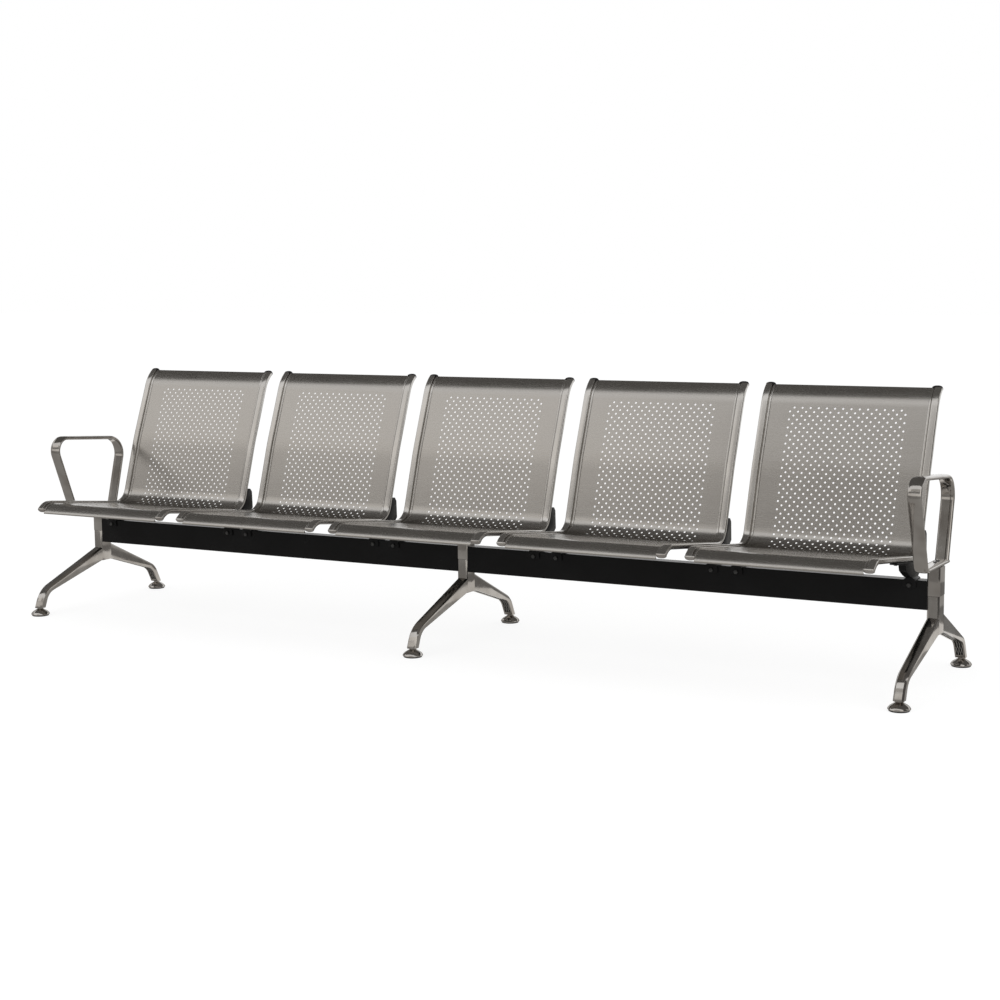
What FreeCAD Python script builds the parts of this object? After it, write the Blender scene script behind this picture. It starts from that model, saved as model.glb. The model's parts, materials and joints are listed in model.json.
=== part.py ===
import FreeCAD, Part
import math
import os

# Beam seating: five one-piece seat shells on one beam, carried by three legs.
# Millimetres. X runs along the bench, +Y to the rear, +Z up. The origin is on the floor,
# under the middle of the bench.

# Layout along the beam
seat_count = 5
seat_width = 516.0
seat_space = 54.0
leg_space = 55.0

# Seat side view: the middle line of a side rail
pan_rise_deg = 6.6
bend_corner_y = 81.0
bend_corner_z = 337.5
bend_r = 58.0
front_corner_y = -317.6
waterfall_r = 54.0
lip_drop_deg = 58.0
rail_front_deg = 47.0
back_lean_low_deg = 17.8
back_lean_high_deg = 21.4
back_flat_low = 160.0
back_bend_r = 700.0
curl_start_z = 738.0
curl_r = 104.0
sheet_top_deg = 56.0
rail_top_deg = 54.0

# Seat across: rails and sheet
tube_width = 21.0
tube_thick = 15.0
sheet_thick = 1.5
top_hem_r = 2.4
lip_hem_r = 3.0
hem_sides = 8

# Openings in the sheet: a plain grid on seat and back in the place of the fine perforation
field_width = 342.0
field_front_margin = 24.0
field_top_margin = 8.0
opening_columns = 5
pan_opening_rows = 3
back_opening_rows = 4
opening_size = 22.0

# Rail caps
cap_lip = 0.9
top_cap_length = 11.0
front_cap_length = 8.0
cap_crown = 0.6
cap_collar = 0.4

# Beam
beam_front_y = 12.0
beam_depth = 42.0
beam_bottom_z = 208.0
beam_height = 79.0
beam_wall = 2.0
beam_corner_r = 3.0
beam_overrun = 11.7
plug_flange = 2.0
plug_bolt_gap = 1.0

# Seat brackets
bracket_web = 20.0
bracket_foot = 38.0
wing_length = 172.0
wing_tip = 6.0
nose_share = 0.46
chin_back = 5.0
chin_drop = 15.0
arm_rise = 30.0
arm_depth = 22.0
arm_crown = 12.0
heel_rise = 6.0
neck_pull_back = 0.55
neck_pull_down = 0.64
bend_flats = 3
saddle_thick = 9.0
saddle_sides = 5
ear_thick = 4.0
ear_drop = 20.0

# Leg columns
column_width = 34.0
column_wall = 5.0
column_corner = 4.5
hub_bottom_z = 144.0
clamp_step = 0.8
seam_gap = 0.6
middle_clamp_top = 12.0

# Legs, side view: outer line, inner line and foot
leg_top_front_z = 189.0
leg_top_rear_z = 197.0
front_slope_deg = 20.6
rear_slope_deg = 25.4
foot_lean_front_deg = 22.0
foot_lean_rear_deg = 27.0
front_elbow_y = -274.5
rear_elbow_y = 291.0
outer_elbow_front_r = 85.0
outer_elbow_rear_r = 68.0
inner_elbow_r = 48.0
foot_depth = 24.0
foot_taper = 5.0
foot_bottom_z = 26.0
under_front_z = 146.5
under_rear_z = 147.5
elbow_depth = 21.0
leg_edge = 5.0
channel_wall = 4.0
channel_from_foot = 9.0
channel_from_hub = 24.0
infill_thick = 4.0
infill_sink = 1.0

# Levelling feet
foot_front_y = -283.0
foot_rear_y = 309.0
stud_r = 4.0
stud_engaged = 19.0
stud_bore_depth = 20.0
neck_r = 7.5
dome_r = 30.0
dome_rim_z = 5.0
dome_rim_height = 3.0
dome_top_z = 13.0
dome_shoulder_r = 14.0
dome_sides = 12
stud_sides = 8
neck_flare = 1.5
dome_lip = 1.5
pad_r = 27.0
pad_seat_z = 3.5

# Armrests
arm_width = 38.0
arm_thick = 13.0
arm_nose = 5.0
arm_base_z = 332.0
arm_base_rear_y = 97.0
arm_base_front_y = -107.0
arm_front_lean_deg = 21.0
arm_rear_lean_deg = 15.2
arm_bottom_r = 20.0
arm_top_front_r = 42.0
arm_top_rear_r = 58.0
arm_top_corner_y = -203.5
arm_top_fall_deg = 4.2
arm_rear_corner_y = 148.0

# Fasteners
bolt_head_r = 6.5
bolt_head_height = 5.0
bolt_shank_r = 3.5
bolt_length = 14.0
screw_head_r = 5.0
screw_head_height = 2.5
screw_shank_r = 2.5
rail_screw_length = 9.0
rail_screw_from_tip = 20.0
arm_screw_length = 22.0
arm_screw_inset = 12.0
bolt_rise = 1.0

# Fits
seat_gap = 0.3
running_gap = 0.08

# Places along the bench, and the foot's width, worked out from the sizes above
seat_pitch = seat_width + seat_space
end_leg_x = (seat_count - 1) / 2 * seat_pitch + seat_width / 2 + leg_space
leg_x = (-end_leg_x, 0.0, end_leg_x)
foot_width = column_width - foot_taper

PARTS = "parts"
ACROSS = FreeCAD.Vector(1, 0, 0)
UP = FreeCAD.Vector(0, 0, 1)


def cos(deg):
    return math.cos(math.radians(deg))


def sin(deg):
    return math.sin(math.radians(deg))


def tan(deg):
    return math.tan(math.radians(deg))


def side(y, z, x=0.0):
    """A point of the side view, at a place along the bench."""
    return FreeCAD.Vector(x, y, z)


def heading_vector(deg):
    """Unit vector in the side view: 0 points to the rear, 90 up."""
    return FreeCAD.Vector(0, cos(deg), sin(deg))


def left_of(deg):
    """Unit vector to the left of a heading. On the seat track it is the sitter's side."""
    return FreeCAD.Vector(0, -sin(deg), cos(deg))


class Track:
    """Straight and round stretches, each tangent to the last, in the plane of the side view."""

    def __init__(self, start, heading):
        self.point = start
        self.heading = heading
        self.stretches = []

    def line(self, length):
        end = self.point + heading_vector(self.heading) * length
        self.stretches.append(("line", self.point, self.heading, length, 0.0))
        self.point = end
        return self

    def arc(self, radius, turn):
        """Turn is positive to the left."""
        self.stretches.append(("arc", self.point, self.heading, radius, turn))
        hand = math.copysign(1.0, turn)
        centre = self.point + left_of(self.heading) * (hand * radius)
        self.heading += turn
        self.point = centre - left_of(self.heading) * (hand * radius)
        return self

    def length(self, count):
        """Length of the first few stretches."""
        return sum(size if kind == "line" else size * math.radians(abs(turn))
                   for kind, _, _, size, turn in self.stretches[:count])

    def at(self, distance):
        """Place and heading at a distance along the track."""
        count = 1
        while count < len(self.stretches) and self.length(count) < distance:
            count += 1
        kind, start, heading, size, turn = self.stretches[count - 1]
        part = distance - self.length(count - 1)
        if kind == "line":
            return start + heading_vector(heading) * part, heading
        hand = math.copysign(1.0, turn)
        now = heading + hand * math.degrees(part / size)
        return start + (left_of(heading) - left_of(now)) * (hand * size), now

    def edges(self, offset=0.0):
        """The track as edges, moved to the left by the offset."""
        made = []
        for kind, start, heading, size, turn in self.stretches:
            begin = start + left_of(heading) * offset
            if kind == "line":
                end = begin + heading_vector(heading) * size
                made.append(Part.LineSegment(begin, end).toShape())
                continue
            hand = math.copysign(1.0, turn)
            centre = start + left_of(heading) * (hand * size)
            reach = size - hand * offset
            middle = centre - left_of(heading + turn / 2) * (hand * reach)
            end = centre - left_of(heading + turn) * (hand * reach)
            made.append(Part.Arc(begin, middle, end).toShape())
        return made

    def sweep(self, outline):
        """A solid with one cross-section all along. The outline is in (across, to the left)."""
        solids = []
        for kind, start, heading, size, turn in self.stretches:
            points = [start + ACROSS * x + left_of(heading) * n for x, n in outline]
            face = Part.Face(Part.makePolygon(points + [points[0]]))
            if kind == "line":
                solids.append(face.extrude(heading_vector(heading) * size))
                continue
            hand = math.copysign(1.0, turn)
            centre = start + left_of(heading) * (hand * size)
            solids.append(face.revolve(centre, ACROSS, turn))
        joined = solids[0].multiFuse(solids[1:]) if len(solids) > 1 else solids[0]
        return single(joined.removeSplitter())


def single(shape):
    """The one solid in a shape."""
    if len(shape.Solids) != 1:
        raise ValueError("expected one solid, found %d" % len(shape.Solids))
    return shape.Solids[0]


def side_face(edges):
    """A face of the side view from edges in order."""
    return Part.Face(Part.Wire(Part.__sortEdges__(edges)))


def across(face, x_from, x_to):
    """A side-view face given width along the bench."""
    face = face.copy()
    face.translate(ACROSS * x_from)
    return face.extrude(ACROSS * (x_to - x_from))


def box(x_from, x_to, y_from, y_to, z_from, z_to):
    corner = FreeCAD.Vector(x_from, y_from, z_from)
    return Part.makeBox(x_to - x_from, y_to - y_from, z_to - z_from, corner)


def line(a, b):
    return Part.LineSegment(a, b).toShape()


def arc(a, b, c):
    return Part.Arc(a, b, c).toShape()


def flat_face(points):
    return Part.Face(Part.makePolygon(points + [points[0]]))


def stack(rings):
    """A closed solid through rings of points whose sides stay parallel from ring to ring."""
    faces = [flat_face(rings[0]), flat_face(rings[-1])]
    for low, high in zip(rings, rings[1:]):
        for k in range(len(low)):
            faces.append(flat_face([low[k - 1], low[k], high[k], high[k - 1]]))
    solid = Part.Solid(Part.makeShell(faces))
    if solid.Volume < 0:
        solid.reverse()
    return solid


def ring(radius, z, sides):
    """Corners of a regular polygon about the upright axis."""
    step = 360.0 / sides
    return [FreeCAD.Vector(radius * cos(step * k), radius * sin(step * k), z) for k in range(sides)]


def prism(centre, radius, axis, length, sides):
    """A regular prism from a centre point along an axis."""
    solid = flat_face(ring(radius, 0.0, sides)).extrude(UP * length)
    solid.Placement = FreeCAD.Placement(centre, FreeCAD.Rotation(UP, axis))
    return solid


def turned(steps, sides):
    """A many-sided turned piece from (radius, height) steps, lowest first."""
    return stack([ring(radius, z, sides) for radius, z in steps])


def save(name, solids):
    """Write one node: a single solid, or a group of separate solids."""
    shape = solids if not isinstance(solids, list) else Part.makeCompound(solids)
    if not shape.isValid():
        raise ValueError(name + " is not valid")
    shape.exportStep(os.path.join(PARTS, name + ".step"))


# Seat side view, worked out from the driving dimensions
pan_heading = -pan_rise_deg
low_heading = 90.0 - back_lean_low_deg
high_heading = 90.0 - back_lean_high_deg
bend_turn = low_heading - pan_heading
bend_corner = side(bend_corner_y, bend_corner_z)
bend_reach = bend_r * tan(bend_turn / 2)
bend_start = bend_corner - heading_vector(pan_heading) * bend_reach
bend_end = bend_corner + heading_vector(low_heading) * bend_reach
pan_run = (bend_corner_y - front_corner_y) / cos(pan_heading)
front_corner = bend_corner - heading_vector(pan_heading) * pan_run
crest_reach = waterfall_r * tan((lip_drop_deg - pan_heading) / 2)
crest_end = front_corner + heading_vector(pan_heading) * crest_reach
crest_centre = crest_end - left_of(pan_heading) * waterfall_r
pan_length = (bend_start - crest_end).Length
back_bend_turn = high_heading - low_heading
back_bend_rise = back_bend_r * (sin(back_lean_high_deg) - sin(back_lean_low_deg))
back_flat_rise = curl_start_z - bend_end.z - back_bend_rise - back_flat_low * sin(low_heading)
back_flat_high = back_flat_rise / sin(high_heading)


def seat_track(front_heading, top_heading):
    """The rail's middle line from the front tip, over the pan and up the back."""
    track = Track(crest_centre + left_of(front_heading) * waterfall_r, front_heading)
    track.arc(waterfall_r, pan_heading - front_heading)
    track.line(pan_length)
    track.arc(bend_r, bend_turn)
    track.line(back_flat_low)
    track.arc(back_bend_r, back_bend_turn)
    track.line(back_flat_high)
    track.arc(curl_r, top_heading - high_heading)
    return track


rail_track = seat_track(rail_front_deg, 90.0 - rail_top_deg)
sheet_track = seat_track(lip_drop_deg, 90.0 - sheet_top_deg)
rail_front_point = crest_centre + left_of(rail_front_deg) * waterfall_r

# Seat across, from the seat's middle outward
rail_out = seat_width / 2
tube_in = rail_out - tube_width
tube_mid = rail_out - tube_width / 2
sheet_half = tube_in - seat_gap


def rail_outline(hand, lip=0.0, scale=1.0):
    """Cross-section of a rail's tube. A cap's is a lip wider, but flush beside the sheet, and drawn in."""
    inner = -tube_width / 2 * scale
    outer = (tube_width / 2 + lip) * scale
    half = (tube_thick / 2 + lip) * scale
    corners = [(outer, half), (outer, -half), (inner, -half), (inner, half)]
    return [(hand * (tube_mid + x), n) for x, n in corners]


def rail_cap(hand, point, heading, length):
    """A cap on a rail's end: a short straight collar, then a crown that draws in."""
    def cut(distance, scale):
        base = point + heading_vector(heading) * distance
        return [base + ACROSS * x + left_of(heading) * n for x, n in rail_outline(hand, cap_lip, scale)]
    return stack([cut(0.0, 1.0), cut(length * cap_collar, 1.0), cut(length, cap_crown)])


def sheet_openings():
    """Square cutters through pan and back, in even rows and columns of the perforated field."""
    waterfall_end, pan_end, bend_finish = (sheet_track.length(k) for k in (1, 2, 3))
    back_end = sheet_track.length(6)
    cutters = []
    for begin, end, rows in ((waterfall_end + field_front_margin, pan_end, pan_opening_rows),
                             (bend_finish, back_end - field_top_margin, back_opening_rows)):
        for row in range(rows):
            point, heading = sheet_track.at(begin + (end - begin) * (row + 0.5) / rows)
            for column in range(opening_columns):
                cutter = Part.makeBox(opening_size, opening_size, 4 * sheet_thick)
                cutter.translate(FreeCAD.Vector(-opening_size / 2, -opening_size / 2, -2 * sheet_thick))
                cutter.rotate(side(0, 0), ACROSS, heading)
                middle = field_width * ((column + 0.5) / opening_columns - 0.5)
                cutter.translate(point + ACROSS * middle)
                cutters.append(cutter)
    return cutters


def seat_shell():
    """One sheet for seat and back between two rails, with a rolled hem at the lip and at the top."""
    def hem(point, heading, radius):
        """A rolled edge behind the sheet's end."""
        middle = point - left_of(heading) * (radius - sheet_thick / 2)
        return prism(middle - ACROSS * sheet_half, radius, ACROSS, 2 * sheet_half, hem_sides)

    outer = sheet_track.edges(sheet_thick / 2)
    inner = sheet_track.edges(-sheet_thick / 2)
    ends = [line(outer[0].firstVertex(True).Point, inner[0].firstVertex(True).Point)]
    ends.append(line(outer[-1].lastVertex(True).Point, inner[-1].lastVertex(True).Point))
    sheet = across(side_face(outer + inner + ends), -sheet_half, sheet_half)
    lip_point = sheet_track.stretches[0][1]
    hems = [hem(lip_point, lip_drop_deg, lip_hem_r), hem(sheet_track.point, sheet_track.heading, top_hem_r)]
    return single(sheet.multiFuse(hems).removeSplitter().cut(sheet_openings()))


# Beam places
beam_rear_y = beam_front_y + beam_depth
beam_top_z = beam_bottom_z + beam_height
beam_mid_z = beam_bottom_z + beam_height / 2
beam_end_x = end_leg_x + beam_overrun
plug_stem = beam_overrun - bolt_shank_r - plug_bolt_gap


def beam_tube():
    """Rectangular tube with rounded outer edges, open at both ends."""
    outer = box(-beam_end_x, beam_end_x, beam_front_y, beam_rear_y, beam_bottom_z, beam_top_z)
    outer = outer.makeFillet(beam_corner_r, [e for e in outer.Edges if e.Length > 2 * beam_end_x - 1.0])
    inner = box(-beam_end_x, beam_end_x, beam_front_y + beam_wall, beam_rear_y - beam_wall,
                beam_bottom_z + beam_wall, beam_top_z - beam_wall)
    return single(outer.cut(inner))


def beam_plug(hand):
    """Push-in plug: a flange over the tube's end and a hollow stem that stops short of the bolts."""
    def block(x_from, x_to, inset):
        front, rear = beam_front_y + inset, beam_rear_y - inset
        return box(x_from, x_to, front, rear, beam_bottom_z + inset, beam_top_z - inset)

    stem_from = beam_end_x - plug_stem
    stem = block(stem_from, beam_end_x, beam_wall + seat_gap)
    cavity = block(stem_from, beam_end_x, beam_wall + seat_gap + plug_flange)
    flange = block(beam_end_x, beam_end_x + plug_flange, 0.0)
    plug = stem.cut(cavity).fuse(flange).removeSplitter()
    return single(plug if hand > 0 else plug.mirror(side(0, 0), ACROSS))


# Bracket places
saddle_top_z = beam_top_z + saddle_thick
saddle_middle_z = saddle_top_z - bracket_foot / 2 * sin(90.0 - 90.0 / saddle_sides)
neck_z = beam_top_z + saddle_thick / 2
ear_bottom_z = beam_top_z - ear_drop
saddle_front_y = beam_front_y - seat_gap - ear_thick
saddle_rear_y = beam_rear_y + seat_gap + ear_thick


def drawn_in(upper, lower):
    """Middle point of the hollow curve from a web's upper corner to its neck."""
    y = upper.y + (lower.y - upper.y) * neck_pull_back
    z = upper.z + (lower.z - upper.z) * neck_pull_down
    return side(y, z)


def bracket_web_face():
    """Side view of a bracket: flats under the rail, and drawn in by two hollow curves to the saddle."""
    below = tube_thick / 2 + seat_gap
    wing_end = bend_start - heading_vector(pan_heading) * wing_length - left_of(pan_heading) * below
    arm_end = bend_end + heading_vector(low_heading) * arm_rise - left_of(low_heading) * below
    bend_centre = bend_start + left_of(pan_heading) * bend_r
    step = bend_turn / bend_flats
    under_bend = []
    for k in range(bend_flats):
        corner = left_of(pan_heading + step * (k + 0.5)) * ((bend_r + below) / cos(step / 2))
        under_bend.append(bend_centre - corner)
    down = left_of(pan_heading) * -1.0
    wing_low = wing_end + down * wing_tip
    nose = wing_end + heading_vector(pan_heading) * (wing_length * nose_share) + down * (wing_tip * 1.5)
    chin = side(nose.y + chin_back, nose.z - chin_drop)
    neck_front = side(saddle_front_y + ear_thick, neck_z)
    arm_top = side(arm_end.y + arm_depth * 0.5, arm_end.z - 1)
    arm_back = side(arm_end.y + arm_depth * 0.9, arm_end.z - arm_crown)
    heel = side(arm_end.y + arm_depth, bend_corner_z + heel_rise)
    neck_rear = side(saddle_rear_y - ear_thick, neck_z)
    front_pull, rear_pull = (drawn_in(chin, neck_front), drawn_in(heel, neck_rear))
    top = [wing_end] + under_bend + [arm_end, arm_top, arm_back, heel]
    edges = [line(a, b) for a, b in zip(top, top[1:])]
    edges += [arc(heel, rear_pull, neck_rear), line(neck_rear, neck_front), arc(neck_front, front_pull, chin)]
    edges += [line(chin, nose), line(nose, wing_low), line(wing_low, wing_end)]
    return side_face(edges)


def saddle():
    """Half-round saddle over the beam's top, with a flat ear down its front and its rear."""
    half = bracket_foot / 2
    outline = [side(saddle_front_y, ear_bottom_z, half), side(saddle_front_y, ear_bottom_z, -half)]
    for k in range(saddle_sides + 1):
        turn = 180.0 * k / saddle_sides
        outline.append(side(saddle_front_y, saddle_middle_z + half * sin(turn), -half * cos(turn)))
    block = flat_face(outline).extrude(side(saddle_rear_y - saddle_front_y, 0.0))
    bed = box(-half, half, beam_front_y - seat_gap, beam_rear_y + seat_gap, ear_bottom_z, beam_top_z)
    return block.cut(bed)


def seat_bracket():
    """One bracket at the beam's middle: web under the rail, and a wide saddle on the beam."""
    web = across(bracket_web_face(), -bracket_web / 2, bracket_web / 2)
    return single(saddle().fuse(web).removeSplitter())


def bracket_places():
    """Seat number, hand and X of every bracket."""
    places = []
    for number in range(seat_count):
        middle = (number - (seat_count - 1) / 2) * seat_pitch
        places.append((number + 1, "left", middle - tube_mid))
        places.append((number + 1, "right", middle + tube_mid))
    return places


def bolt(centre, axis):
    """Hexagon bolt: its head stands on the centre point, its shank runs the other way."""
    head = prism(centre, bolt_head_r, axis, bolt_head_height, 6)
    shank = prism(centre - axis * bolt_length, bolt_shank_r, axis, bolt_length, 6)
    return single(head.fuse(shank).removeSplitter())


def screw(centre, axis, length):
    """Round-head screw: its head stands on the centre point, its shank runs the other way."""
    head = prism(centre, screw_head_r, axis, screw_head_height, 6)
    shank = prism(centre - axis * length, screw_shank_r, axis, length, 6)
    return single(head.fuse(shank).removeSplitter())


# Column places
column_front_y = beam_front_y - column_wall
column_rear_y = beam_rear_y + column_wall
seam_z = beam_mid_z


def column_block(half_width, grow, z_from, z_to):
    """An upright block with cut upright edges."""
    solid = box(-half_width, half_width, column_front_y - grow, column_rear_y + grow, z_from, z_to)
    upright = [e for e in solid.Edges if abs(e.tangentAt(e.FirstParameter).z) > 0.9]
    return solid.makeChamfer(column_corner, upright)


def beam_bed(end):
    """The beam's place in a column: right through, or closed by a cheek at the bench's end."""
    inside = beam_overrun + plug_flange + seat_gap
    x_from = -inside if end < 0 else -column_width
    x_to = inside if end > 0 else column_width
    return box(x_from, x_to, beam_front_y - seat_gap, beam_rear_y + seat_gap, beam_bottom_z, beam_top_z)


def column_clamp(end, top_z):
    """Upper half of a column: closes over the beam and is a touch wider than the casting below."""
    solid = column_block(column_width / 2 + clamp_step, clamp_step, seam_z + seam_gap / 2, top_z)
    return single(solid.cut(beam_bed(end)))


def distance_to_run(point, run):
    """Least distance in the side view from a point to a run of straight lines."""
    flat = side(point.y, point.z)
    return min(Part.Vertex(flat).distToShape(line(a, b))[0] for a, b in zip(run, run[1:]))


def round_corner(before, corner, after, radius):
    """First, middle and last point of the arc that rounds a corner."""
    back = (before - corner).normalize()
    on = (after - corner).normalize()
    half = math.degrees(back.getAngle(on)) / 2
    inward = (back + on).normalize()
    middle = corner + inward * (radius / sin(half) - radius)
    return corner + back * (radius / tan(half)), middle, corner + on * (radius / tan(half))


class Leg:
    """Side view of one leg. Toward is -1 for the front leg and 1 for the rear leg."""

    def __init__(self, toward, top_z, under_z, slope, lean, elbow_y, elbow_r):
        self.toward = toward
        self.elbow_r = elbow_r
        self.lean = lean
        face_y = column_front_y if toward < 0 else column_rear_y
        root_y = face_y - toward * column_wall
        self.root_y = root_y
        self.top_root = side(root_y, top_z + column_wall * tan(slope))
        self.under_root = side(root_y, under_z)
        self.elbow = side(elbow_y, top_z - abs(elbow_y - face_y) * tan(slope))
        self.toe = side(elbow_y + toward * (self.elbow.z - foot_bottom_z) * tan(lean), foot_bottom_z)
        self.heel = self.toe - FreeCAD.Vector(0, toward * foot_depth, 0)
        inner_z = self.elbow.z - elbow_depth * 0.5
        inner_y = self.heel.y - toward * (inner_z - foot_bottom_z) * tan(lean)
        self.inner = side(inner_y, inner_z)

    def face(self):
        """Outline of the leg from inside the column to the foot."""
        out = round_corner(self.top_root, self.elbow, self.toe, self.elbow_r)
        back = round_corner(self.heel, self.inner, self.under_root, inner_elbow_r)
        edges = [line(self.top_root, out[0]), arc(*out), line(out[2], self.toe), line(self.toe, self.heel)]
        edges += [line(self.heel, back[0]), arc(*back), line(back[2], self.under_root)]
        edges.append(line(self.under_root, self.top_root))
        return side_face(edges)

    def plan(self):
        """Plan view of the leg: it narrows from the column's width to the foot's."""
        root_half = column_width / 2
        foot_half = foot_width / 2
        end = self.toe.y + self.toward
        points = [(-root_half, self.root_y), (root_half, self.root_y), (foot_half, end), (-foot_half, end)]
        corners = [FreeCAD.Vector(x, y, 0) for x, y in points]
        return Part.Face(Part.makePolygon(corners + [corners[0]]))

    def solid(self):
        """The leg with its two upper edges cut to a slope."""
        body = across(self.face(), -column_width, column_width)
        body = single(body.common(self.plan().extrude(UP * (2 * self.top_root.z))))
        outer_run = (self.top_root, self.elbow, self.toe)
        rounded = []
        for edge in body.Edges:
            middle = edge.valueAt((edge.FirstParameter + edge.LastParameter) / 2)
            beside = abs(middle.x) > foot_width / 4
            outside = distance_to_run(middle, outer_run) < foot_depth * 0.45
            inside = distance_to_run(middle, (self.heel, self.inner, self.under_root)) > foot_depth * 0.45
            if beside and outside and inside and middle.z > foot_bottom_z + 1.0:
                rounded.append(edge)
        return single(body.makeChamfer(leg_edge, rounded))

    def channel(self, width, low, high, shorten):
        """A band along the leg's inner side: from one depth to another, short of hub and foot."""
        foot_heading = 90.0 + self.toward * self.lean
        run = self.under_root - self.inner
        run_heading = math.degrees(math.atan2(run.z, run.y))
        turn = run_heading - foot_heading
        reach = inner_elbow_r * tan(abs(turn) / 2)
        start = self.heel + heading_vector(foot_heading) * (channel_from_foot + shorten)
        track = Track(start, foot_heading)
        track.line((self.inner - self.heel).Length - reach - channel_from_foot - shorten)
        track.arc(inner_elbow_r, turn)
        track.line(run.Length - reach - channel_from_hub - shorten)
        inward = -self.toward
        half = width / 2
        near, far = inward * low, inward * high
        return track.sweep([(-half, near), (half, near), (half, far), (-half, far)])


front_leg = Leg(-1, leg_top_front_z, under_front_z, front_slope_deg, foot_lean_front_deg,
                front_elbow_y, outer_elbow_front_r)
rear_leg = Leg(1, leg_top_rear_z, under_rear_z, rear_slope_deg, foot_lean_rear_deg,
               rear_elbow_y, outer_elbow_rear_r)
feet_y = (foot_front_y, foot_rear_y)


def leg_casting(end):
    """Lower half of a column with hub, front leg and rear leg. End is -1, 0 or 1 along the bench."""
    hub = column_block(column_width / 2, 0.0, hub_bottom_z, seam_z - seam_gap / 2)
    body = hub.multiFuse([front_leg.solid(), rear_leg.solid()])
    cuts = [beam_bed(end)]
    for leg in (front_leg, rear_leg):
        cuts.append(leg.channel(foot_width - 2 * channel_wall, -1.0, infill_sink + infill_thick, 0.0))
    for y in feet_y:
        cuts.append(prism(side(y, foot_bottom_z), stud_r + running_gap, UP, stud_bore_depth, stud_sides))
    return single(body.cut(cuts).removeSplitter())


def infill_strip(leg):
    """Patterned strip in a leg's channel, a little below the rim."""
    width = foot_width - 2 * channel_wall - 2 * seat_gap
    return leg.channel(width, infill_sink, infill_sink + infill_thick - seat_gap, seat_gap)


def levelling_foot():
    """Threaded stud, neck and bright domed disc, from the floor point up."""
    disc = [(dome_r - dome_lip, pad_seat_z), (dome_r, dome_rim_z), (dome_r, dome_rim_z + dome_rim_height)]
    neck = [(neck_r, dome_top_z + neck_flare), (neck_r, foot_bottom_z - seat_gap)]
    body = turned(disc + [(dome_shoulder_r, dome_top_z)] + neck, dome_sides)
    stud = turned([(stud_r, dome_top_z), (stud_r, foot_bottom_z + stud_engaged)], stud_sides)
    return single(body.fuse(stud).removeSplitter())


def foot_pad():
    """Rubber pad under the disc."""
    return turned([(pad_r, 0.0), (pad_r, pad_seat_z)], dome_sides)


def arm_track():
    """Middle line of an armrest: base bar to the front, post, top bar, post down to the base."""
    front_heading = 90.0 + arm_front_lean_deg
    top_heading = -arm_top_fall_deg
    rear_heading = -90.0 - arm_rear_lean_deg
    base_corner = side(arm_base_front_y, arm_base_z)
    post = heading_vector(front_heading)
    top_corner = base_corner + post * ((arm_top_corner_y - arm_base_front_y) / post.y)
    bar = heading_vector(top_heading)
    rear_corner = top_corner + bar * ((arm_rear_corner_y - top_corner.y) / bar.y)
    bottom_reach = arm_bottom_r * tan((180.0 - front_heading) / 2)
    front_reach = arm_top_front_r * tan((front_heading - top_heading) / 2)
    rear_reach = arm_top_rear_r * tan((top_heading - rear_heading) / 2)
    track = Track(side(arm_base_rear_y, arm_base_z), 180.0)
    track.line(arm_base_rear_y - arm_base_front_y - bottom_reach)
    track.arc(arm_bottom_r, front_heading - 180.0)
    track.line((top_corner - base_corner).Length - bottom_reach - front_reach)
    track.arc(arm_top_front_r, top_heading - front_heading)
    track.line((rear_corner - top_corner).Length - front_reach - rear_reach)
    track.arc(arm_top_rear_r, rear_heading - top_heading)
    drop = (track.point.z - arm_base_z) / cos(arm_rear_lean_deg)
    track.line(drop)
    return track


def armrest():
    """Closed loop of flat bar on a base bar, its outer edges cut to a slope."""
    half = arm_width / 2
    thick = arm_thick / 2
    flat = half - arm_nose
    outline = [(half, -thick), (half, 0.0), (flat, thick)]
    outline += [(-x, n) for x, n in reversed(outline)]
    return arm_track().sweep(outline)


def moved(shape, x, y=0.0, z=0.0):
    shape = shape.copy()
    shape.translate(FreeCAD.Vector(x, y, z))
    return shape


def make_seats():
    """Shells, rails, caps and brackets of every seat."""
    shell = seat_shell()
    rails = {"left": rail_track.sweep(rail_outline(-1)), "right": rail_track.sweep(rail_outline(1))}
    bracket = seat_bracket()
    top_caps = []
    front_caps = []
    for number, hand, x in bracket_places():
        sign = 1 if hand == "right" else -1
        middle = x - sign * tube_mid
        if hand == "left":
            save("seat_shell_%d" % number, moved(shell, middle))
        save("side_rail_%s_%d" % (hand, number), moved(rails[hand], middle))
        save("seat_bracket_%s_%d" % (hand, number), moved(bracket, x))
        top_cap = rail_cap(sign, rail_track.point, rail_track.heading, top_cap_length)
        front_cap = rail_cap(sign, rail_front_point, rail_front_deg + 180.0, front_cap_length)
        top_caps.append(moved(top_cap, middle))
        front_caps.append(moved(front_cap, middle))
    save("rail_top_caps", top_caps)
    save("rail_front_caps", front_caps)


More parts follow.
